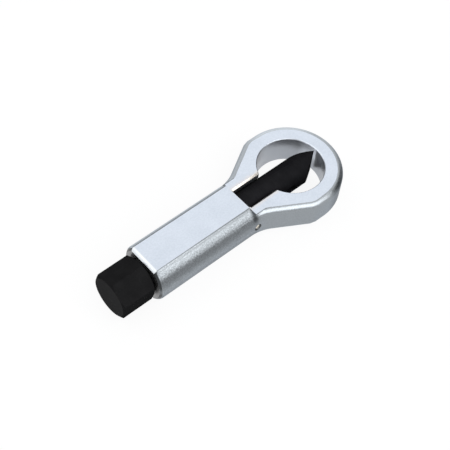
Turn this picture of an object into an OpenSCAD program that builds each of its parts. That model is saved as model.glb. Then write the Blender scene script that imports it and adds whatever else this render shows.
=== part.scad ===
// Nut splitter: a pressure screw drives a hardened blade across a round eye, into the nut.
// It lies on the flat of its handle, with +X along the screw axis towards the eye
// and the origin on the resting surface, under the middle of its length. All sizes are in millimetres.

/* [Head] */
// Diameter of the eye that takes the nut
eye_d = 28; // [26:0.5:32]
// Bevel around both rims of the eye
eye_bevel = 0.3; // [0.2:0.1:0.8]
// Wall of the ring around the eye
ring_wall = 7.7; // [6.5:0.1:9]
// Thickness of the head
head_t = 13.4; // [12.9:0.1:14.5]
// Rounding of the head's outer edges
head_edge_r = 2.5; // [1:0.1:3]
// Length of the straight sides behind the middle of the eye
side_len = 6; // [4:0.5:8]
// Angle between the flanks and the screw axis
flank_angle = 30; // [27:1:33]
// Length of the blended corner between a straight side and a flank
corner_len = 2.6; // [1:0.1:4]
// Width of the neck where it meets the handle
neck_w = 21.2; // [20.4:0.1:21.3]
// Radius of the hollow between a flank and the neck
neck_r = 20; // [16:1:22]
// Width of the slot that shows the blade
slot_w = 10.4; // [9:0.1:11.5]
// Bevel along both rims of the slot
slot_bevel = 0.7; // [0.3:0.1:1]

/* [Handle] */
// Distance from the middle of the eye to the front of the handle
handle_front = 29.5; // [28.5:0.5:33]
// Length of the handle
handle_len = 47.8; // [44:0.1:56]
// Thickness of the handle across its flats
handle_t = 19.7; // [19.7:0.1:22]
// Width of the handle across its rounded sides
handle_w = 22.9; // [22.4:0.1:24]
// Width of the flats
flat_w = 14.3; // [12:0.1:16]
// Bevel at the screw end of the handle
rear_bevel = 1.2; // [0.8:0.1:2]
// Hollow rounding where the handle steps down to the head
step_r = 2.2; // [1.5:0.1:2.6]

/* [Screw] */
// Outer diameter of the screw thread
thread_d = 14; // [13.6:0.1:14.6]
// Pitch of the screw thread
thread_pitch = 1.5; // [1.25:0.25:1.75]
// Size of the hexagon across its flats
hex_af = 17; // [15:0.5:17]
// Length of the hexagon
hex_len = 15.4; // [10:0.1:20]
// Share of the flats' width that the bevels leave on the hexagon's faces
hex_face = 0.97; // [0.88:0.01:0.98]
// Turn of the hexagon in the resting pose
hex_turn = 10; // [0:1:59]
// Gap between hexagon and handle when the screw is fully in
head_gap = 0.7; // [0.4:0.1:2]
// Diameter of the nose that enters the blade
nose_d = 8; // [7:0.1:8.4]
// Length of the nose
nose_len = 6; // [5:0.1:8]
// Radial play between thread and handle
thread_play = 0.05; // [0.03:0.01:0.1]

/* [Blade] */
// Length of the blade
blade_len = 53; // [50:0.5:58]
// Travel of the blade
travel = 24; // [16:1:24]
// Gap between the cutting edge and the far wall of the eye, blade fully out
edge_gap = 0.8; // [0.4:0.1:3]
// Angle between the two ground faces of the cutting edge
edge_angle = 65; // [45:1:90]
// Radial play of the blade in its bore, and of the nose in the blade
blade_play = 0.05; // [0.03:0.01:0.1]
// Depth of the guide groove
groove_depth = 1.6; // [1:0.1:2]
// Bevel at the blade's screw end
blade_bevel = 0.6; // [0.2:0.1:1]

/* [Small parts] */
// Diameter of the guide pin
pin_d = 3; // [2:0.1:3.5]
// Distance from the middle of the eye back to the guide pin
pin_back = 27.8; // [25.5:0.1:28]
// Depth of the pin's outer end below the surface around it
pin_recess = 0.4; // [0.2:0.1:1]
// Play on each side of the guide pin in the groove
pin_play = 0.15; // [0.1:0.05:0.3]
// Radial play of the guide pin in its hole
pin_fit = 0.02; // [0.01:0.01:0.05]
// Diameter of the thrust ball
ball_d = 6; // [4:0.1:6.4]
// Play around the thrust ball
ball_play = 0.05; // [0.03:0.01:0.1]
// Wire diameter of the snap ring
ring_wire = 1.2; // [0.8:0.1:1.4]
// Angle left open in the snap ring
ring_gap = 40; // [20:5:90]

/* [Hidden] */
$fn = 96;

// Overlap that lets round and flat stretches of the outline cross instead of only touching
blend_lap = 0.05;
// Overshoot of cutting shapes
cut = 1;

// Head, seen from above, with the eye's middle as zero
ring_r = eye_d / 2 + ring_wall;
side_y = ring_r - blend_lap;
flank_dist = side_len * sin(flank_angle) + side_y * cos(flank_angle);
corner_angle = flank_angle / 2;
corner_dist = side_len * sin(corner_angle) + side_y * cos(corner_angle) - corner_len / 2 * tan(corner_angle);
hollow_y = neck_w / 2 + neck_r;
hollow_x = (hollow_y * cos(flank_angle) - flank_dist - neck_r) / sin(flank_angle);
flank_end = hollow_x + neck_r * sin(flank_angle);
flank_lap = 2;
function flank_y(x) = hollow_y - sqrt(pow(neck_r, 2) - pow(x - hollow_x, 2));

// Handle
handle_back = handle_front + handle_len;
side_sag = (handle_w - flat_w) / 2;
side_r = (pow(handle_t / 2, 2) + pow(side_sag, 2)) / (2 * side_sag);
side_shift = side_r - handle_w / 2;
// The bar runs on below the step until the hollow curve of the neck has covered it
bar_top_y = sqrt(pow(side_r, 2) - pow(head_t / 2, 2)) - side_shift;
bar_end = hollow_x + sqrt(pow(neck_r, 2) - pow(hollow_y - bar_top_y - head_edge_r, 2));

// Screw axis: one drilled bore, tapped behind the blade
bore_d = thread_d - thread_pitch;
blade_d = bore_d - 2 * blade_play;
blade_tip = eye_d / 2 - edge_gap;
blade_rear = blade_tip - blade_len;
shoulder_gap = 0.3;
shoulder_x = blade_rear - shoulder_gap;
tapped_end = blade_rear + shoulder_gap;
hex_x = -handle_back - head_gap;
tail_x = hex_x - hex_len;
nose_front = blade_rear + nose_len;
nose_bevel = 0.5;
thread_bevel = thread_pitch / 2;

// Ball pocket with a drill point
drill_angle = 59;
ball_x = nose_front + ball_play + ball_d / 2;
pocket_r = ball_d / 2 + ball_play;
pocket_tip = ball_x + pocket_r / sin(drill_angle);
pocket_point = pocket_r / tan(drill_angle);

// Snap ring, half in the nose and half in the blade
ring_x = blade_rear + nose_len / 2;
ring_centre_r = nose_d / 2 + blade_play / 2;

// Guide groove, long enough for the whole travel
groove_floor = blade_d / 2 - groove_depth;
groove_w = pin_d + 2 * pin_play;
groove_back = -pin_back - pin_play;
groove_front = -pin_back + travel + pin_play;
pin_bevel = 0.3;
pin_outer = max(handle_w / 2, flank_y(-pin_back)) - pin_recess;
pin_inner = groove_floor + pin_play;

// Lifts the tool onto the resting surface and centres its length
module stand() {
    translate([-(ring_r + tail_x) / 2, 0, handle_t / 2]) children();
}

module along_x(x) {
    translate([x, 0, 0]) rotate([0, 90, 0]) children();
}

module bore(d, x1, x2) {
    along_x(x1) cylinder(d = d, h = x2 - x1);
}

// Section of the head's rim: outer edge at zero, solid towards the left
module rim_section(depth) {
    half = head_t / 2;
    translate([-depth, -half]) square([depth - head_edge_r, head_t]);
    translate([-depth, head_edge_r - half]) square([depth, head_t - 2 * head_edge_r]);
    for (side = [-1, 1])
        translate([-head_edge_r, side * (half - head_edge_r)]) circle(head_edge_r);
}

// Straight rim along +X, outer edge towards +Y at zero
module rim_bar(length, depth) {
    rotate([90, 0, 90]) linear_extrude(length) rim_section(depth);
}

module both_sides() {
    children();
    mirror([0, 1, 0]) children();
}

// Straight rim at an angle to the screw axis
module slanted_bar(angle, dist) {
    reach = 2 * ring_r;
    rotate(angle) translate([-reach, dist, 0]) rim_bar(2 * reach, 2 * reach);
}

// Plate behind the eye, bounded by the straight sides, the two flanks and the corners between them
module head_plate() {
    intersection() {
        translate([flank_end - flank_lap, side_y, 0]) rim_bar(flank_lap - flank_end, 2 * ring_r);
        mirror([0, 1, 0])
            translate([flank_end - flank_lap, side_y, 0]) rim_bar(flank_lap - flank_end, 2 * ring_r);
        slanted_bar(flank_angle, flank_dist);
        mirror([0, 1, 0]) slanted_bar(flank_angle, flank_dist);
        slanted_bar(corner_angle, corner_dist);
        mirror([0, 1, 0]) slanted_bar(corner_angle, corner_dist);
    }
}

// Hollow curve from the flank into the handle
module neck_side() {
    translate([hollow_x, hollow_y, 0])
        rotate_extrude(angle = flank_angle, start = -90)
            translate([neck_r + blend_lap, 0])
                mirror([1, 0]) rim_section(neck_w / 2);
}

module head_blank() {
    rotate_extrude() translate([ring_r, 0]) rim_section(ring_wall + cut);
    head_plate();
    both_sides() neck_side();
}

// Side view of the bar: bevelled screw end, hollow step down to the head
module handle_side_view() {
    half = handle_t / 2;
    step_x = step_r - handle_front;
    step_z = head_t / 2 + step_r - blend_lap;
    polygon([
        [-handle_back, rear_bevel - half],
        [rear_bevel - handle_back, -half],
        [-handle_front, -half],
        [-handle_front, half],
        [rear_bevel - handle_back, half],
        [-handle_back, half - rear_bevel]
    ]);
    translate([-handle_front - cut, -head_t / 2]) square([bar_end + handle_front + cut, head_t]);
    difference() {
        translate([-handle_front - cut, -step_z]) square([step_r + cut, 2 * step_z]);
        for (side = [-1, 1])
            translate([step_x, side * step_z]) circle(step_r);
    }
}

// Round bar with flats above and below
module handle_blank() {
    intersection() {
        rotate([90, 0, 0]) linear_extrude(2 * handle_w, center = true) handle_side_view();
        side_round(1);
        side_round(-1);
    }
}

// Bar whose round surface forms one side of the handle
module side_round(side) {
    translate([0, -side * side_shift, 0]) along_x(-handle_back)
        rotate_extrude()
            polygon([
                [0, 0],
                [side_r - rear_bevel, 0],
                [side_r, rear_bevel],
                [side_r, handle_back + bar_end],
                [0, handle_back + bar_end]
            ]);
}

module eye_cut() {
    half = head_t / 2;
    cylinder(d = eye_d, h = 2 * head_t, center = true);
    for (side = [0, 1])
        mirror([0, 0, side]) translate([0, 0, half - eye_bevel])
            cylinder(r1 = eye_d / 2, r2 = eye_d / 2 + eye_bevel + cut, h = eye_bevel + cut);
}

// Slot through the neck, with bevelled rims that start where the step ends
module slot_cut() {
    half = head_t / 2;
    rim_x = step_r - handle_front;
    wide = slot_w / 2 + slot_bevel + cut;
    translate([-handle_front, -slot_w / 2, -head_t]) cube([handle_front, slot_w, 2 * head_t]);
    for (side = [0, 1])
        mirror([0, 0, side]) translate([rim_x, 0, half]) rotate([90, 0, 90]) linear_extrude(-rim_x)
            polygon([
                [-slot_w / 2, -slot_bevel],
                [slot_w / 2, -slot_bevel],
                [wide, cut],
                [-wide, cut]
            ]);
}

module body() {
    tapped_d = thread_d + 2 * thread_play;
    color("#c9d0d8") stand() difference() {
        union() {
            handle_blank();
            head_blank();
        }
        eye_cut();
        slot_cut();
        bore(bore_d, -handle_back - cut, 0);
        bore(tapped_d, -handle_back - cut, tapped_end);
        along_x(-handle_back - cut)
            cylinder(d1 = tapped_d + 2 * (thread_bevel + cut), d2 = tapped_d, h = thread_bevel + cut);
        translate([-pin_back, 0, 0]) rotate([90, 0, 0])
            cylinder(d = pin_d + 2 * pin_fit, h = handle_w, $fn = 48);
    }
}

// Groove that the guide pin runs in, with the round ends of an end mill
module guide_groove() {
    translate([0, -groove_floor, 0]) rotate([90, 0, 0]) linear_extrude(groove_depth + cut) {
        translate([groove_back, -groove_w / 2]) square([groove_front - groove_back, groove_w]);
        for (x = [groove_back, groove_front])
            translate([x, 0]) circle(d = groove_w, $fn = 48);
    }
}

// Chisel with an upright cutting edge, driven from a socket in its rear end
module blade() {
    taper = blade_d / tan(edge_angle / 2);
    color("#1d1d20") stand() difference() {
        intersection() {
            along_x(blade_rear) rotate_extrude()
                polygon([
                    [0, 0],
                    [blade_d / 2 - blade_bevel, 0],
                    [blade_d / 2, blade_bevel],
                    [blade_d / 2, blade_len],
                    [0, blade_len]
                ]);
            linear_extrude(2 * blade_d, center = true)
                polygon([
                    [blade_rear - cut, -blade_d],
                    [blade_tip - taper, -blade_d],
                    [blade_tip, 0],
                    [blade_tip - taper, blade_d],
                    [blade_rear - cut, blade_d]
                ]);
        }
        guide_groove();
        bore(nose_d + 2 * blade_play, blade_rear - cut, nose_front + ball_play);
        bore(2 * pocket_r, nose_front, pocket_tip - pocket_point);
        along_x(pocket_tip - pocket_point) cylinder(r1 = pocket_r, r2 = 0, h = pocket_point);
        along_x(ring_x) ring_space();
    }
}

// Groove that the snap ring sits in
module ring_space() {
    rotate_extrude() translate([ring_centre_r, 0]) circle(d = ring_wire + 2 * blade_play, $fn = 32);
}

// Pin in the neck that keeps the blade from turning
module guide_pin() {
    pin_len = pin_outer - pin_inner;
    color("#d8cdb8") stand() translate([-pin_back, -pin_inner, 0]) rotate([90, 0, 0])
        rotate_extrude($fn = 48)
            polygon([
                [0, 0],
                [pin_d / 2 - pin_bevel, 0],
                [pin_d / 2, pin_bevel],
                [pin_d / 2, pin_len - pin_bevel],
                [pin_d / 2 - pin_bevel, pin_len],
                [0, pin_len]
            ]);
}

// Hexagon with bevelled ends, whose bevels run out past the corners
module hex_head() {
    corner_r = hex_af / 2 / cos(30);
    face_r = hex_face * hex_af / 2;
    outer_r = corner_r + cut;
    slope = (outer_r - face_r) * tan(30);
    intersection() {
        rotate(hex_turn) cylinder(r = corner_r, h = hex_len, $fn = 6);
        rotate_extrude()
            polygon([
                [0, 0],
                [face_r, 0],
                [outer_r, slope],
                [outer_r, hex_len - slope],
                [face_r, hex_len],
                [0, hex_len]
            ]);
    }
}

// Screw with a hexagon to drive it and a nose that turns in the blade
module pressure_screw() {
    shank_len = shoulder_x - hex_x + cut;
    nose_end = shank_len + nose_front - shoulder_x;
    color("#232326") stand() difference() {
        union() {
            along_x(tail_x) hex_head();
            along_x(hex_x - cut) rotate_extrude()
                polygon([
                    [0, 0],
                    [thread_d / 2, 0],
                    [thread_d / 2, shank_len - thread_bevel],
                    [thread_d / 2 - thread_bevel, shank_len],
                    [nose_d / 2, shank_len],
                    [nose_d / 2, nose_end - nose_bevel],
                    [nose_d / 2 - nose_bevel, nose_end],
                    [0, nose_end]
                ]);
        }
        along_x(ring_x) ring_space();
    }
}

// Ball that takes the thrust between nose and blade
module thrust_ball() {
    color("#b9bcc2") stand() translate([ball_x, 0, 0]) sphere(d = ball_d);
}

// Open wire ring that draws the blade back with the screw
module snap_ring() {
    color("#8d9096") stand() along_x(ring_x)
        rotate_extrude(angle = 360 - ring_gap)
            translate([ring_centre_r, 0]) circle(d = ring_wire, $fn = 32);
}

body();
blade();
guide_pin();
pressure_screw();
thrust_ball();
snap_ring();
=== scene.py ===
import math

import bmesh
import bpy
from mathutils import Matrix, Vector


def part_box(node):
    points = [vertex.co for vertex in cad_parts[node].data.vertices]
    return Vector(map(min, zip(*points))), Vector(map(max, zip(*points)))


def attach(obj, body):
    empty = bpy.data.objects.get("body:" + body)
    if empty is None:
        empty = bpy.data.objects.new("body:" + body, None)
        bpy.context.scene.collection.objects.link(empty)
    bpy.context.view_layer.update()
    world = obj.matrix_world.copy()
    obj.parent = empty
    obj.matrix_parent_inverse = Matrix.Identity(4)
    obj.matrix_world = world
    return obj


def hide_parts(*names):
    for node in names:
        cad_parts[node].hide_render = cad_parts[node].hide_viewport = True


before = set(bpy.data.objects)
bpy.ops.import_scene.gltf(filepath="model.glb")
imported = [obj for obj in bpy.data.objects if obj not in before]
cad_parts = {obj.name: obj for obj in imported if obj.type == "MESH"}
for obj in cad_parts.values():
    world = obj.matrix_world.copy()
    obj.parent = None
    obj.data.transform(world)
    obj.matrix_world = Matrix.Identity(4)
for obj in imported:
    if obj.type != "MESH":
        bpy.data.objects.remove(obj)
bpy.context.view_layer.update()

print("frame loaded:", ", ".join(sorted(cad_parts)))

mm = 0.001
bodyLow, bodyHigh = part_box("body")
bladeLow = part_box("blade")[0]
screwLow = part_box("pressure_screw")[0]
pinLow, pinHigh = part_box("guide_pin")
axisZ = (bodyLow.z + bodyHigh.z) / 2   # height of the screw axis above the floor


class Wire:
    # one socket of a node tree; arithmetic on it adds Math nodes
    def __init__(self, tree, socket=None):
        self.tree = tree
        self.socket = socket

    def node(self, kind, settings=None, inputs=None, out=0):
        made = self.tree.nodes.new(kind)
        for name, value in (settings or {}).items():
            if name == "stops":
                setStops(made.color_ramp, value)
            else:
                setattr(made, name, value)
        for name, value in (inputs or {}).items():
            if isinstance(value, Wire):
                self.tree.links.new(value.socket, made.inputs[name])
            else:
                made.inputs[name].default_value = value
        return Wire(self.tree, made.outputs[out] if len(made.outputs) else None)

    def maths(self, operation, first, second=0.0):
        return self.node("ShaderNodeMath", {"operation": operation}, {0: first, 1: second})

    def __add__(self, other):
        return self.maths("ADD", self, other)

    __radd__ = __add__

    def __sub__(self, other):
        return self.maths("SUBTRACT", self, other)

    def __rsub__(self, other):
        return self.maths("SUBTRACT", other, self)

    def __mul__(self, other):
        return self.maths("MULTIPLY", self, other)

    __rmul__ = __mul__

    def __truediv__(self, other):
        return self.maths("DIVIDE", self, other)

    def __rtruediv__(self, other):
        return self.maths("DIVIDE", other, self)

    def __abs__(self):
        return self.maths("ABSOLUTE", self)

    def between(self, low, high):      # 0 at low, 1 at high, smooth in between
        return self.node("ShaderNodeMapRange", {"interpolation_type": "SMOOTHSTEP"},
                         {"Value": self, "From Min": low, "From Max": high})

    def spread(self, base, extent):    # base where this is 0, base + extent where it is 1
        return base + extent * self

    def tint(self, first, second):     # colour between two others
        return self.node("ShaderNodeMix", {"data_type": "RGBA"}, {0: self, 6: first, 7: second}, out=2)


def setStops(ramp, stops):
    while len(ramp.elements) > 1:
        ramp.elements.remove(ramp.elements[-1])
    ramp.elements[0].position, ramp.elements[0].color = stops[0]
    for position, color in stops[1:]:
        ramp.elements.new(position).color = color


def startFinish(name):
    material = bpy.data.materials.new(name)
    material.use_nodes = True
    material.node_tree.nodes.clear()
    spot = Wire(material.node_tree).node("ShaderNodeTexCoord", out="Object")
    return material, spot


def speckle(spot, size, detail=3.0, rough=0.5):    # noise whose grains are about size metres wide
    return spot.node("ShaderNodeTexNoise", None,
                     {"Vector": spot, "Scale": 1 / size, "Detail": detail, "Roughness": rough}, out="Fac")


def stretched(spot, scale):                        # a scale of 9 makes a pattern 9 times as narrow
    return spot.node("ShaderNodeMapping", None, {"Vector": spot, "Scale": scale})


def part(spot, axis):
    return spot.node("ShaderNodeSeparateXYZ", None, {"Vector": spot}, out=axis)


def combined(spot, **parts):
    return spot.node("ShaderNodeCombineXYZ", None, parts)


def length(spot, way):
    return spot.node("ShaderNodeVectorMath", {"operation": "LENGTH"}, {0: way}, out="Value")


def relief(spot, height, depth, strength=1.0):
    return spot.node("ShaderNodeBump", None, {"Strength": strength, "Distance": depth, "Height": height})


def endFinish(material, spot, sockets):
    shader = spot.node("ShaderNodeBsdfPrincipled", None, sockets)
    spot.node("ShaderNodeOutputMaterial", None, {"Surface": shader})
    return material


# What is common to all meshes
cleaning = {
    "weld": 0.03 * mm,                 # loose triangles of a node become one skin
    "foldAngle": 150,                  # slivers folded back on a flat
    "flatAngle": 0.25,                 # faces nearly in one plane become one
    "crispAngle": 30,                  # edges that get broken
    "sharpAngle": 35,                  # edges that stay sharp under smooth shading
    "seam": 1e-6,
    "cut": 1e-7,
}


def mergedCopy(nodeName):
    bm = bmesh.new()
    bm.from_mesh(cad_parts[nodeName].data)
    bmesh.ops.remove_doubles(bm, verts=bm.verts, dist=cleaning["weld"])
    bm.normal_update()
    bmesh.ops.dissolve_edges(bm, edges=crispEdges(bm, cleaning["foldAngle"]))
    bmesh.ops.dissolve_limit(bm, angle_limit=math.radians(cleaning["flatAngle"]),
                             verts=bm.verts, edges=bm.edges)
    bm.normal_update()
    return bm


def crispEdges(bm, angle=cleaning["crispAngle"]):
    return [e for e in bm.edges if e.is_manifold and e.calc_face_angle() > math.radians(angle)]


def breakEdges(bm, edges, width, segments=2):
    made = bmesh.ops.bevel(bm, geom=edges, offset=width, offset_type="OFFSET", affect="EDGES",
                           segments=segments, profile=0.5, material=-1, clamp_overlap=False)
    bm.normal_update()
    return made["faces"]


def closeSpin(bm):
    bmesh.ops.remove_doubles(bm, verts=bm.verts, dist=cleaning["seam"])


def finishPiece(name, bm, materials, body, node):
    for face in bm.faces:
        face.smooth = True
    for edge in crispEdges(bm, cleaning["sharpAngle"]):
        edge.smooth = False
    mesh = bpy.data.meshes.new(name)
    bm.to_mesh(mesh)
    bm.free()
    for material in materials:
        mesh.materials.append(material)
    piece = bpy.data.objects.new(name, mesh)
    bpy.context.scene.collection.objects.link(piece)
    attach(piece, body)
    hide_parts(node)
    print("piece made:", name, len(mesh.polygons), "faces")


# Plated forging: ground flats, a duller forged skin on the sides, machined eye, slot and bore, with
# painted reflections, highlights and shade on several of these finishes
stepX = 6.35 * mm                      # where the handle steps down to the head
eyeX = 35.85 * mm                      # middle of the eye
rearX = bodyLow.x
rearBevelX = rearX + 1.2 * mm          # where the bevel behind the handle ends
forging = {
    "edgeWidth": 0.07 * mm,            # broken edges all over
    "shortEdge": 0.05 * mm,            # shorter ones stay as they are
    "sliver": 0.002 * mm,
    "creaseWidth": 0.32 * mm,          # painted dark line along the flats of the handle
    "rearRound": 0.6 * mm,             # worn edge behind the handle's sides
    "rearSegments": 5,
    "pinBevel": 0.18 * mm,             # countersink of the pin's hole
    "pinHoleDepth": 2 * mm,
    "pinHoleGap": 0.2 * mm,
    "headTop": 6.7 * mm,               # half the head's thickness
    "handleTop": 9.85 * mm,
    "eyeReach": 14.4 * mm,             # faces within these are walls
    "boreReach": 7.8 * mm,
    "slotHalf": 5.2 * mm,
    "slotBevel": 0.7 * mm,
    "tappedFront": bladeLow.x + 0.35 * mm,
    "neck": (stepX - 0.6 * mm, stepX + 7.0 * mm),  # sides of handle and head run into each other
    "neckSide": 4.5 * mm,
    "steelTint": (0.93, 1.0, 1.06, 1),
    "flat": {
        "plain": (0.73, 0.79, 0.88, 1),
        "cloudy": (0.64, 0.70, 0.785, 1),
        "cloudSize": 9 * mm,
        "grainSize": 0.7 * mm,
        "scratchSize": 3 * mm,
        "scratchAcross": (1, 9, 1),
        "warm": (0.78, 0.755, 0.75, 1),            # beside the slot
        "warmShare": 0.7,
        "warmWidth": (0.2 * mm, 1.6 * mm),
        "warmStart": (stepX - 0.1 * mm, stepX),
        "warmEnd": (eyeX - 14 * mm, eyeX - 9 * mm),
        "polished": (0.86, 0.895, 0.93, 1),        # bevel behind the handle
        "polishedEnd": (rearBevelX, rearBevelX + 0.48 * mm),
        "edgeTint": (0.52, 0.56, 0.61, 1),         # brightness seen nearly edge on
        "rough": (0.33, 0.1),                      # lowest, and how much it varies
        "relief": 0.02 * mm,
    },
    "skin": {
        "handle": [(0.0, 0.33), (0.17, 0.29), (0.34, 0.212), (0.51, 0.185), (0.60, 0.195),
                   (0.68, 0.315), (0.75, 0.485), (0.83, 0.515), (0.90, 0.485), (0.94, 0.33),
                   (0.975, 0.32)],                 # levels of grey from mid height up to the flat; the dark band at mid height and the light band below the flat are painted reflections
        "handleBlur": 0.06,
        "head": 0.325,
        "rim": 0.41,                               # painted highlight along the top of the ring's side
        "rimHighlightBand": (5.3 * mm, 6.3 * mm),
        "onHead": (stepX + 0.3 * mm, stepX + 4 * mm),
        "cornerShadeLoss": 0.7,                         # share of brightness taken off by painted shade in the step's corner
        "cornerX": stepX + 0.7 * mm,
        "cornerWidth": (0.4 * mm, 1.8 * mm),
        "cornerHeight": (2.5 * mm, 5.5 * mm),
        "frontShadeLoss": 0.82,                         # share taken off by painted shade round the front of the ring, mostly on its near side
        "frontX": (eyeX + 1 * mm, eyeX + 9 * mm),
        "frontSide": (-8 * mm, 15 * mm),
        "frontTop": (5.9 * mm, 6.5 * mm),
        "backHighlightGain": 0.42,                          # painted highlight added on its other side
        "backX": (eyeX - 8 * mm, eyeX + 2 * mm),
        "backSide": (5 * mm, 14 * mm),
        "grainSize": 0.55 * mm,
        "contrast": (0.7, 0.6),
        "headCalm": 0.65,                          # the head's grain is weaker and shallower
        "headSmooth": 0.7,
        "edgeTint": (0.74, 0.78, 0.83, 1),
        "cloudSize": 5 * mm,
        "rough": (0.25, 0.08),
        "relief": 0.08 * mm,
    },
    # painted shade: the bevel behind the handle is dark, lighter round mid height
    "bevel": {"grey": 0.055, "middle": 0.17, "middleBand": (0.2 * mm, 2.6 * mm),
              "grainSize": 0.6 * mm, "rough": (0.3, 0.1)},
    "rim": {"plain": (0.80, 0.755, 0.70, 1), "stain": (0.42, 0.36, 0.30, 1),
            "stainSize": 1.2 * mm, "rough": (0.3, 0.1)},
    # painted shade: the pin hole's countersink is nearly black
    "hole": {"gapShade": (0.02, 0.019, 0.018, 1), "gapShadeLight": (0.05, 0.047, 0.043, 1),
             "gapShadeSize": 0.5 * mm, "metal": 0.3, "rough": (0.5, 0.2)},
    "wall": {
        "plain": (0.37, 0.395, 0.435, 1),
        "cloudy": (0.42, 0.445, 0.485, 1),
        "cloudSize": 4 * mm,
        "markSize": 1.4 * mm,
        "marksRound": (1, 1, 14),
        "frontHighlightGain": 1.1,                          # painted highlight and painted shade at the front and rear ends of the eye's wall
        "frontBand": (11.6 * mm, 13.5 * mm),
        "rearShadeLoss": 0.45,
        "rearBand": (-8 * mm, 0.0),
        "upperBand": (-3 * mm, 3 * mm),
        "metal": 0.8,
        "rough": (0.26, 0.12),
        "relief": 0.008 * mm,
    },
    "tapped": {"plain": (0.22, 0.22, 0.225, 1), "cloudy": (0.3, 0.3, 0.3, 1), "cloudSize": 3 * mm,
               "pitch": 1.5 * mm, "rough": (0.34, 0.1), "relief": 0.4 * mm},
    # painted shade: the crease along the handle's flats is a dark grey line
    "crease": {"grey": 0.24, "dullSize": 0.8 * mm, "contrast": (0.8, 0.4), "rough": (0.38, 0.1)},
}


def plated(level):                     # the plating's colour at a level of grey
    return level.tint((0, 0, 0, 1), forging["steelTint"])


def groundPlate():
    look = forging["flat"]
    material, spot = startFinish("groundPlate")
    cloud = speckle(spot, look["cloudSize"]).between(0.35, 0.7)
    fine = speckle(spot, look["grainSize"], 3, 0.6).between(0.3, 0.7)
    scratch = speckle(stretched(spot, look["scratchAcross"]), look["scratchSize"], 4, 0.6)
    x = part(spot, "X")
    aside = abs(part(spot, "Y")) - forging["slotHalf"] - forging["slotBevel"]
    besideSlot = ((1 - (aside + (fine - 0.5) * mm).between(*look["warmWidth"]))
                  * x.between(*look["warmStart"]) * (1 - x.between(*look["warmEnd"])))
    atRear = 1 - x.between(*look["polishedEnd"])
    plate = (cloud * 0.4 + fine * 0.6).tint(look["plain"], look["cloudy"])
    plate = (besideSlot * look["warmShare"]).tint(plate, look["warm"])
    return endFinish(material, spot, {
        "Base Color": atRear.tint(plate, look["polished"]),
        "Metallic": 1.0,
        "Specular Tint": look["edgeTint"],
        "Roughness": scratch.spread(*look["rough"]),
        "Normal": relief(spot, fine, look["relief"], 0.6),
    })


def forgedSkin():
    look = forging["skin"]
    material, spot = startFinish("forgedSkin")
    x, y, z = part(spot, "X"), part(spot, "Y"), abs(part(spot, "Z") - axisZ)
    grain = speckle(spot, look["grainSize"], 4, 0.65).between(0.25, 0.75)
    cloud = speckle(spot, look["cloudSize"])
    # painted reflections: a dark band at mid height and a light band below the flat on the handle's sides
    paintedBandGreys = [(place, (level, level, level, 1)) for place, level in look["handle"]]
    height = z / forging["handleTop"] + (grain - 0.5) * look["handleBlur"]
    handle = spot.node("ShaderNodeValToRGB", {"stops": paintedBandGreys}, {0: height}, out="Color")
    head = look["head"] + z.between(*look["rimHighlightBand"]) * (look["rim"] - look["head"])
    onHead = x.between(*look["onHead"])
    # painted shade in the step's corner
    corner = ((1 - abs(x - look["cornerX"]).between(*look["cornerWidth"]))
              * z.between(*look["cornerHeight"]))
    # painted shade round the front of the ring, mostly on its near side
    front = (x.between(*look["frontX"]) * (0 - y).between(*look["frontSide"])
             * (1 - z.between(*look["frontTop"])))
    # painted highlight on the far side of the ring, beside the eye
    back = x.between(*look["backX"]) * y.between(*look["backSide"])
    calm = look["headCalm"] * onHead
    level = handle * (1 - onHead) + head * onHead
    level = level * (1 - corner * look["cornerShadeLoss"]) * (1 - front * look["frontShadeLoss"])
    level = level * (1 + back * look["backHighlightGain"])
    level = level * (grain * (1 - calm) + 0.5 * calm).spread(*look["contrast"])
    return endFinish(material, spot, {
        "Base Color": plated(level),
        "Metallic": 1.0,
        "Specular Tint": look["edgeTint"],
        "Roughness": cloud.spread(*look["rough"]),
        "Normal": relief(spot, grain * (1 - look["headSmooth"] * onHead), look["relief"], 0.7),
    })


def turnedBevel():
    look = forging["bevel"]
    material, spot = startFinish("turnedBevel")
    grain = speckle(spot, look["grainSize"])
    # painted shade, lighter round mid height
    upper = (abs(part(spot, "Z") - axisZ) + (grain - 0.5) * mm).between(*look["middleBand"])
    return endFinish(material, spot, {
        "Base Color": plated(look["middle"] + upper * (look["grey"] - look["middle"])),
        "Metallic": 1.0,
        "Roughness": grain.spread(*look["rough"]),
    })


def slotRim():
    look = forging["rim"]
    material, spot = startFinish("slotRim")
    stain = speckle(spot, look["stainSize"], 4, 0.6).between(0.5, 0.75)
    return endFinish(material, spot, {
        "Base Color": stain.tint(look["plain"], look["stain"]),
        "Metallic": 1.0,
        "Roughness": stain.spread(*look["rough"]),
    })


def holeEdge():
    look = forging["hole"]
    material, spot = startFinish("holeEdge")
    gapShade = speckle(spot, look["gapShadeSize"])
    return endFinish(material, spot, {
        "Base Color": gapShade.tint(look["gapShade"], look["gapShadeLight"]),
        "Metallic": look["metal"],
        "Roughness": gapShade.spread(*look["rough"]),
    })


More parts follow.
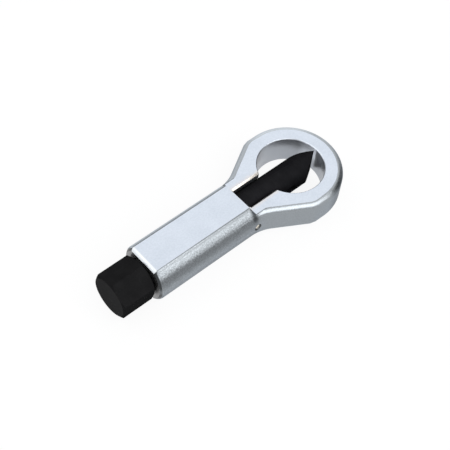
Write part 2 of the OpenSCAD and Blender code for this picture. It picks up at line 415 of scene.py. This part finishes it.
def machinedWall():
    look = forging["wall"]
    material, spot = startFinish("machinedWall")
    marks = speckle(stretched(spot, look["marksRound"]), look["markSize"], 2)
    cloud = speckle(spot, look["cloudSize"])
    # painted highlight on the upper front of the eye's wall, painted shade on its upper rear
    ahead = part(spot, "X") - eyeX
    upper = (part(spot, "Z") - axisZ).between(*look["upperBand"])
    paintedLight = upper * (ahead.between(*look["frontBand"]) * look["frontHighlightGain"]
                    - (1 - ahead.between(*look["rearBand"])) * look["rearShadeLoss"])
    plain = cloud.tint(look["plain"], look["cloudy"])
    return endFinish(material, spot, {
        "Base Color": spot.node("ShaderNodeVectorMath", {"operation": "SCALE"},
                                {0: plain, "Scale": 1 + paintedLight}),
        "Metallic": look["metal"],
        "Roughness": marks.spread(*look["rough"]),
        "Normal": relief(spot, marks, look["relief"], 0.5),
    })


def tappedWall():
    look = forging["tapped"]
    material, spot = startFinish("tappedWall")
    perMetre = math.tau / 20 / look["pitch"]       # the node itself multiplies by 20
    turns = spot.node("ShaderNodeTexWave", {"bands_direction": "X", "wave_profile": "TRI"},
                      {"Vector": spot, "Scale": perMetre, "Distortion": 0.0}, out="Fac")
    cloud = speckle(spot, look["cloudSize"])
    return endFinish(material, spot, {
        "Base Color": cloud.tint(look["plain"], look["cloudy"]),
        "Metallic": 1.0,
        "Roughness": cloud.spread(*look["rough"]),
        "Normal": relief(spot, turns, look["relief"]),
    })


def creaseLine():
    look = forging["crease"]
    material, spot = startFinish("creaseLine")
    dull = speckle(spot, look["dullSize"])
    return endFinish(material, spot, {
        "Base Color": plated(look["grey"] * dull.spread(*look["contrast"])),
        "Metallic": 1.0,
        "Roughness": dull.spread(*look["rough"]),
    })


def isGround(face):
    height = abs(face.calc_center_median().z - axisZ)
    return abs(face.normal.z) > 0.999 and height > forging["headTop"] - 0.02 * mm


def isInside(face):
    middle = face.calc_center_median()
    beforeEye = middle.x < eyeX
    slotSide = forging["slotHalf"] + forging["slotBevel"] + 0.01 * mm
    inEye = math.hypot(middle.x - eyeX, middle.y) < forging["eyeReach"]
    inSlot = beforeEye and middle.x > stepX - 0.01 * mm and abs(middle.y) < slotSide
    inBore = beforeEye and math.hypot(middle.y, middle.z - axisZ) < forging["boreReach"]
    return inEye or inSlot or inBore


def isLengthwise(edge):
    along = edge.verts[1].co - edge.verts[0].co
    return abs(along.x) > 0.99 * along.length


def isRearEnd(face):
    return face.normal.x < -0.97 and face.calc_center_median().x < rearX + 0.05 * mm


def isRearBevel(face):
    return face.calc_center_median().x < rearBevelX and -0.95 < face.normal.x < -0.5


def isSlotRim(face):
    middle = face.calc_center_median()
    aside = abs(middle.y) - forging["slotHalf"]
    inNeck = stepX < middle.x < eyeX
    return inNeck and 0 < aside < forging["slotBevel"] and abs(face.normal.z) > 0.3


def isPinHole(edge):
    middle = (pinLow + pinHigh) / 2
    reach = (pinHigh.x - pinLow.x) / 2 + forging["pinHoleGap"]
    return all(v.co.y < pinLow.y + forging["pinHoleDepth"]
               and math.hypot(v.co.x - middle.x, v.co.z - middle.z) < reach for v in edge.verts)


def atNeckCorner(edge):
    start, end = forging["neck"]
    return any(start < v.co.x < end and abs(v.co.y) > forging["neckSide"] for v in edge.verts)


def edgesBetween(bm, first, second):
    return [e for e in crispEdges(bm) if {f.material_index for f in e.link_faces} == {first, second}]


def forgedBody():
    bm = mergedCopy("body")
    skin, ground, wall, tapped, crease, bevel, rim, hole = range(8)
    for face in bm.faces:
        if isGround(face):
            face.material_index = ground
        elif isSlotRim(face):
            face.material_index = rim
        elif isRearEnd(face):
            face.material_index = tapped
        elif isInside(face):
            inThread = face.calc_center_median().x < forging["tappedFront"]
            face.material_index = tapped if inThread else wall
        elif isRearBevel(face):
            face.material_index = ground if abs(face.normal.y) < 0.01 else bevel
    flatEdges = [e for e in edgesBetween(bm, skin, ground) if isLengthwise(e)]
    for face in breakEdges(bm, flatEdges, forging["creaseWidth"]):
        face.material_index = crease
    for face in breakEdges(bm, [e for e in crispEdges(bm) if isPinHole(e)], forging["pinBevel"]):
        face.material_index = hole
    rearEdges = edgesBetween(bm, skin, bevel)
    for face in breakEdges(bm, rearEdges, forging["rearRound"], forging["rearSegments"]):
        face.material_index = skin
    others = [e for e in crispEdges(bm) if e.calc_length() > forging["shortEdge"]
              and not isPinHole(e) and not atNeckCorner(e)]
    breakEdges(bm, others, forging["edgeWidth"])
    bmesh.ops.dissolve_degenerate(bm, edges=bm.edges, dist=forging["sliver"])
    for face in bm.faces:
        if isGround(face):             # the flats stay flat under smooth shading
            for edge in face.edges:
                edge.smooth = False
    finishes = [forgedSkin(), groundPlate(), machinedWall(), tappedWall(), creaseLine(),
                turnedBevel(), slotRim(), holeEdge()]
    finishPiece("forgedBody", bm, finishes, "body", "body")


forgedBody()

# Chisel blade: turned bar with two ground faces, black oxide all over
chisel = {
    "edgeWidth": 0.1 * mm,
    "socketR": 4.6 * mm,               # hollow at the rear for the screw's nose
    "socketEnd": 8 * mm,
    "black": (0.009, 0.009, 0.0102, 1),
    "worn": (0.0155, 0.0155, 0.0172, 1),
    "edgeTint": (0.03, 0.03, 0.03, 1),
    "cloudSize": 6 * mm,
    "grainSize": 0.25 * mm,
    "drawnSize": 4 * mm,
    "drawnAcross": (14, 1, 1),
    "metal": 0.35,
    "rough": (0.4, 0.12),
    "relief": 0.006 * mm,
}


def blackChisel():
    material, spot = startFinish("blackChisel")
    cloud = speckle(spot, chisel["cloudSize"], 4)
    fine = speckle(spot, chisel["grainSize"], 2)
    drawn = speckle(stretched(spot, chisel["drawnAcross"]), chisel["drawnSize"])
    wear = (cloud * 0.6 + drawn * 0.4).between(0.3, 0.75)
    return endFinish(material, spot, {
        "Base Color": wear.tint(chisel["black"], chisel["worn"]),
        "Metallic": chisel["metal"],
        "Specular IOR Level": 0.0,
        "Specular Tint": chisel["edgeTint"],
        "Roughness": drawn.spread(*chisel["rough"]),
        "Normal": relief(spot, fine + drawn, chisel["relief"], 0.5),
    })


def inSocket(edge):
    return all(v.co.x < chisel["socketEnd"]
               and math.hypot(v.co.y, v.co.z - axisZ) < chisel["socketR"] for v in edge.verts)


def chiselBlade():
    bm = mergedCopy("blade")
    breakEdges(bm, [e for e in crispEdges(bm) if not inSocket(e)], chisel["edgeWidth"])
    finishPiece("chiselBlade", bm, [blackChisel()], "blade", "blade")


chiselBlade()

# Pressure screw: bevelled hexagon, rolled thread and a turned nose
drive = {
    "edgeWidth": 0.07 * mm,
    "crispAngle": 24,
    "sliver": 0.005 * mm,
    "hexFront": -42.15 * mm,
    "hexTrim": 0.01 * mm,              # taken off its front, so that no wall of the shank is left
    "shoulder": -4.25 * mm,
    "intoHex": 0.4 * mm,               # how far the thread starts inside the hexagon
    "intoThread": 0.3 * mm,            # how far the nose starts inside the thread
    "pitch": 1.5 * mm,
    "crestR": 6.98 * mm,
    "rootR": 6.1 * mm,
    "crestFlat": 0.2 * mm,
    "endBevel": 0.75 * mm,             # at the thread's front end
    "stepsPerTurn": 48,
    "spareTurns": 3,                   # cut off again at both ends
    "black": (0.0085, 0.0085, 0.009, 1),
    "grey": (0.015, 0.015, 0.0155, 1),
    "endGrey": (0.026, 0.026, 0.0265, 1),
    "endBand": (screwLow.x + 0.03 * mm, screwLow.x + 0.2 * mm),
    "crestHighlight": (0.075, 0.075, 0.078, 1),         # painted highlight on the crests of the thread
    "crestDepth": 0.35 * mm,
    "crestFade": 0.1 * mm,
    "edgeTint": (0.03, 0.03, 0.03, 1),
    "turningSize": 0.35 * mm,
    "cloudSize": 5 * mm,
    "grainSize": 0.22 * mm,
    "metal": 0.15,
    "rough": (0.46, 0.14),
    "relief": 0.008 * mm,
}


def blackScrew():
    material, spot = startFinish("blackScrew")
    x = part(spot, "X")
    radius = length(spot, combined(spot, Y=part(spot, "Y"), Z=part(spot, "Z") - axisZ))
    turning = speckle(combined(spot, X=radius, Y=x), drive["turningSize"], 2)
    cloud = speckle(spot, drive["cloudSize"], 4)
    fine = speckle(spot, drive["grainSize"], 2)
    atEnd = 1 - x.between(*drive["endBand"])
    # painted highlight on the thread's crests
    crestHighlightShare = (radius.between(drive["crestR"] - drive["crestDepth"], drive["crestR"])
               * x.between(drive["hexFront"], drive["hexFront"] + drive["crestFade"]))
    oxide = (cloud * 0.4 + fine * 0.6).between(0.3, 0.75).tint(drive["black"], drive["grey"])
    oxide = crestHighlightShare.tint(oxide, drive["crestHighlight"])
    return endFinish(material, spot, {
        "Base Color": atEnd.tint(oxide, drive["endGrey"]),
        "Metallic": drive["metal"],
        "Specular IOR Level": 0.0,
        "Specular Tint": drive["edgeTint"],
        "Roughness": cloud.spread(*drive["rough"]),
        "Normal": relief(spot, turning * 0.6 + fine, drive["relief"], 0.5),
    })


def bisect(bm, x, **clear):
    return bmesh.ops.bisect_plane(bm, geom=bm.verts[:] + bm.edges[:] + bm.faces[:],
                                  dist=cleaning["cut"], plane_co=(x, 0, 0), plane_no=(1, 0, 0), **clear)


def cutEnd(bm, x, keepFront):
    made = bisect(bm, x, clear_inner=keepFront, clear_outer=not keepFront)
    rim = [g for g in made["geom_cut"] if isinstance(g, bmesh.types.BMEdge)]
    bmesh.ops.edgeloop_fill(bm, edges=rim)


def addShell(bm, shell):
    mesh = bpy.data.meshes.new("shell")
    shell.to_mesh(mesh)
    shell.free()
    bm.from_mesh(mesh)
    bpy.data.meshes.remove(mesh)


def bevelThread(bm, endX):
    bevelX = endX - drive["endBevel"]
    bisect(bm, bevelX)
    for v in bm.verts:
        radius = math.hypot(v.co.y, v.co.z - axisZ)
        allowed = drive["crestR"] - (v.co.x - bevelX)
        if v.co.x > bevelX and radius > allowed:
            v.co.y = v.co.y * allowed / radius
            v.co.z = axisZ + (v.co.z - axisZ) * allowed / radius


def threadShell(startX, endX):
    pitch, crest, spare = drive["pitch"], drive["crestFlat"], drive["spareTurns"]
    steps = drive["stepsPerTurn"]
    turns = math.ceil((endX - startX) / pitch) + spare
    profile = [(0, drive["rootR"]), ((pitch - crest) / 2, drive["crestR"]),
               ((pitch + crest) / 2, drive["crestR"]), (pitch, drive["rootR"])]
    bm = bmesh.new()
    firstX = startX - spare / 2 * pitch
    verts = [bm.verts.new((firstX + x, 0, axisZ + r)) for x, r in profile]
    edges = [bm.edges.new(pair) for pair in zip(verts, verts[1:])]
    bmesh.ops.spin(bm, geom=verts + edges, cent=(0, 0, axisZ), axis=(1, 0, 0),
                   dvec=(pitch / steps, 0, 0), angle=math.tau * turns, steps=steps * turns)
    closeSpin(bm)
    cutEnd(bm, startX, True)
    cutEnd(bm, endX, False)
    bevelThread(bm, endX)
    bmesh.ops.recalc_face_normals(bm, faces=bm.faces)
    return bm


def drivenScrew():
    bm = mergedCopy("pressure_screw")
    cutEnd(bm, drive["hexFront"] - drive["hexTrim"], False)
    breakEdges(bm, crispEdges(bm, drive["crispAngle"]), drive["edgeWidth"])
    bmesh.ops.dissolve_degenerate(bm, edges=bm.edges, dist=drive["sliver"])
    nose = mergedCopy("pressure_screw")
    cutEnd(nose, drive["shoulder"] - drive["intoThread"], True)
    addShell(bm, nose)
    addShell(bm, threadShell(drive["hexFront"] - drive["intoHex"], drive["shoulder"]))
    finishPiece("drivenScrew", bm, [blackScrew()], "screw", "pressure_screw")


drivenScrew()

# Guide pin: plain steel with a domed end
pinLook = {
    "middle": (pinLow + pinHigh) / 2,
    "radius": (pinHigh.x - pinLow.x) / 2,
    "dome": 0.35 * mm,
    "outerEnd": [(0.0, 0.0), (0.45, 0.12), (0.78, 0.5), (1.0, 1.3)],   # shares of radius and dome
    "innerEnd": [(1.0, 0.8), (0.8, 0.0), (0.0, 0.0)],
    "steps": 40,
    "color": (0.80, 0.74, 0.62, 1),
    "dull": (0.45, 0.40, 0.33, 1),
    "cloudSize": 0.7 * mm,
    "gapShade": (0.05, 0.046, 0.042, 1),  # painted shade in the gap round its end
    "gapShadeBand": (0.62, 0.9),
    "gapShadeBlur": 0.2,
    "rough": (0.25, 0.15),
}


def plainPin():
    material, spot = startFinish("plainPin")
    cloud = speckle(spot, pinLook["cloudSize"])
    across = combined(spot, X=part(spot, "X") - pinLook["middle"].x,
                      Z=part(spot, "Z") - pinLook["middle"].z)
    reach = length(spot, across) / pinLook["radius"]
    # painted shade in the gap round the pin's end
    inGapShade = (reach + pinLook["gapShadeBlur"] * (cloud - 0.5)).between(*pinLook["gapShadeBand"])
    steel = cloud.between(0.35, 0.75).tint(pinLook["color"], pinLook["dull"])
    return endFinish(material, spot, {
        "Base Color": inGapShade.tint(steel, pinLook["gapShade"]),
        "Metallic": 1.0,
        "Roughness": cloud.spread(*pinLook["rough"]),
    })


def guidePin():
    middle, radius, dome = pinLook["middle"], pinLook["radius"], pinLook["dome"]
    outline = [(share, pinLow.y + rise * dome) for share, rise in pinLook["outerEnd"]]
    outline += [(share, pinHigh.y - rise * dome) for share, rise in pinLook["innerEnd"]]
    bm = bmesh.new()
    verts = [bm.verts.new((middle.x + share * radius, y, middle.z)) for share, y in outline]
    edges = [bm.edges.new(pair) for pair in zip(verts, verts[1:])]
    bmesh.ops.spin(bm, geom=verts + edges, cent=middle, axis=(0, 1, 0), angle=math.tau,
                   steps=pinLook["steps"], use_merge=True)
    closeSpin(bm)
    bmesh.ops.recalc_face_normals(bm, faces=bm.faces)
    finishPiece("guidePin", bm, [plainPin()], "body", "guide_pin")


guidePin()

# Hidden small parts keep their solids
ballLook = {"bright": (0.75, 0.76, 0.78, 1), "dull": (0.62, 0.63, 0.66, 1), "cloudSize": 2 * mm}
ringLook = {"bright": (0.5, 0.51, 0.53, 1), "dull": (0.34, 0.34, 0.36, 1), "cloudSize": 0.8 * mm}


def hardenedSteel(name, look):
    material, spot = startFinish(name)
    cloud = speckle(spot, look["cloudSize"])
    return endFinish(material, spot, {
        "Base Color": cloud.between(0.3, 0.75).tint(look["bright"], look["dull"]),
        "Metallic": 1.0,
        "Roughness": cloud.spread(0.16, 0.2),
    })


def dressNode(name, material):
    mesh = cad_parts[name].data
    mesh.materials.clear()
    mesh.materials.append(material)


dressNode("thrust_ball", hardenedSteel("bearingSteel", ballLook))
dressNode("snap_ring", hardenedSteel("springWire", ringLook))
print("hidden parts dressed")

# Floor, sky and lamps
studio = {
    "floorSize": 6.0,
    "floorSides": 96,
    "coveHeight": 0.6,                 # the floor turns up at its far rim
    "floorColor": (0.86, 0.865, 0.87, 1),
    "floorCloud": (0.88, 0.885, 0.89, 1),
    "cloudSize": 30 * mm,
    "whiteShare": 0.9,                 # how far the floor looks white to camera and reflections
    "sky": [(0.0, (0.6, 0.6, 0.61, 1)), (0.5, (0.5, 0.505, 0.515, 1)),
            (0.62, (0.66, 0.67, 0.685, 1)), (0.78, (1.0, 1.0, 1.0, 1)), (1.0, (1.0, 1.0, 1.0, 1))],
    "skyLevel": 1.0,
    "dimSide": (-22, 25),              # azimuth and elevation of the unlit end of the studio
    "dimBand": (0.84, 0.96),           # cosines of the angles where it starts and is darkest
    "dimShare": 0.9,
}


def towards(azimuth, elevation):
    a, e = math.radians(azimuth), math.radians(elevation)
    return Vector((math.cos(a) * math.cos(e), math.sin(a) * math.cos(e), math.sin(e)))


def floorFinish():
    material, spot = startFinish("paleFloor")
    seen = spot.node("ShaderNodeLightPath", out="Is Camera Ray")
    glossy = spot.node("ShaderNodeLightPath", out="Is Glossy Ray")
    through = spot.node("ShaderNodeLightPath", out="Is Transmission Ray")
    paper = speckle(spot, studio["cloudSize"]).tint(studio["floorColor"], studio["floorCloud"])
    matte = spot.node("ShaderNodeBsdfDiffuse", None, {"Color": paper})
    white = spot.node("ShaderNodeEmission", None, {"Color": (1, 1, 1, 1), "Strength": 1.0})
    share = (seen + glossy + through) * studio["whiteShare"]
    mixed = spot.node("ShaderNodeMixShader", None, {0: share, 1: matte, 2: white})
    spot.node("ShaderNodeOutputMaterial", None, {"Surface": mixed})
    return material


def floor():
    bm = bmesh.new()
    bmesh.ops.create_circle(bm, cap_ends=True, segments=studio["floorSides"], radius=studio["floorSize"])
    made = bmesh.ops.extrude_edge_only(bm, edges=[e for e in bm.edges if e.is_boundary])
    rim = [g for g in made["geom"] if isinstance(g, bmesh.types.BMVert)]
    bmesh.ops.translate(bm, vec=(0, 0, studio["coveHeight"]), verts=rim)
    mesh = bpy.data.meshes.new("floor")
    bm.to_mesh(mesh)
    bm.free()
    mesh.materials.append(floorFinish())
    plane = bpy.data.objects.new("floor", mesh)
    bpy.context.scene.collection.objects.link(plane)


def sky():
    world = bpy.data.worlds.new("studio")
    bpy.context.scene.world = world
    world.use_nodes = True
    world.node_tree.nodes.clear()
    way = Wire(world.node_tree).node("ShaderNodeTexCoord", out="Generated")
    height = part(way, "Z") * 0.5 + 0.5
    color = way.node("ShaderNodeValToRGB", {"stops": studio["sky"]}, {0: height}, out="Color")
    toDim = way.node("ShaderNodeVectorMath", {"operation": "DOT_PRODUCT"},
                     {0: way, 1: towards(*studio["dimSide"])}, out="Value")
    level = (1 - toDim.between(*studio["dimBand"]) * studio["dimShare"]) * studio["skyLevel"]
    light = way.node("ShaderNodeBackground", None, {"Color": color, "Strength": level})
    way.node("ShaderNodeOutputWorld", None, {"Surface": light})


lamps = {
    "nearSoftbox": {"azimuth": -80, "elevation": 48, "distance": 1.0, "size": (1.15, 1.0), "watts": 6.2},
    "nearStrip": {"azimuth": -60, "elevation": 12, "distance": 1.0, "size": (0.5, 0.25), "watts": 0.22},
    "backCard": {"azimuth": 55, "elevation": 17, "distance": 1.0, "size": (1.4, 0.5), "watts": 0.95},
    "rearCard": {"azimuth": 153, "elevation": 32, "distance": 1.0, "size": (0.6, 0.5), "watts": 0.5},
}


def addLamp(name, look):
    way = towards(look["azimuth"], look["elevation"])
    light = bpy.data.lights.new(name, "AREA")
    light.shape = "RECTANGLE"
    light.size, light.size_y = look["size"]
    light.energy = look["watts"]
    lamp = bpy.data.objects.new(name, light)
    bpy.context.scene.collection.objects.link(lamp)
    lamp.location = way * look["distance"]
    lamp.rotation_euler = way.to_track_quat("Z", "Y").to_euler()


floor()
sky()
for lampName, lampLook in lamps.items():
    addLamp(lampName, lampLook)
print("studio ready")

# Camera at the photograph's angle
view = {
    "place": (-0.17202, -0.16509, 0.33845),
    "turn": (35.5096, -3.5550, -41.3532),          # degrees
    "lens": 81.535,
    "sensor": 36,
    "nearest": 0.01,
}
camera = bpy.data.objects.new("camera", bpy.data.cameras.new("camera"))
bpy.context.scene.collection.objects.link(camera)
camera.location = view["place"]
camera.rotation_euler = [math.radians(a) for a in view["turn"]]
camera.data.lens = view["lens"]
camera.data.sensor_width = view["sensor"]
camera.data.clip_start = view["nearest"]
bpy.context.scene.camera = camera
bpy.context.scene.view_settings.view_transform = "Standard"
print("camera set")

bpy.context.view_layer.update()
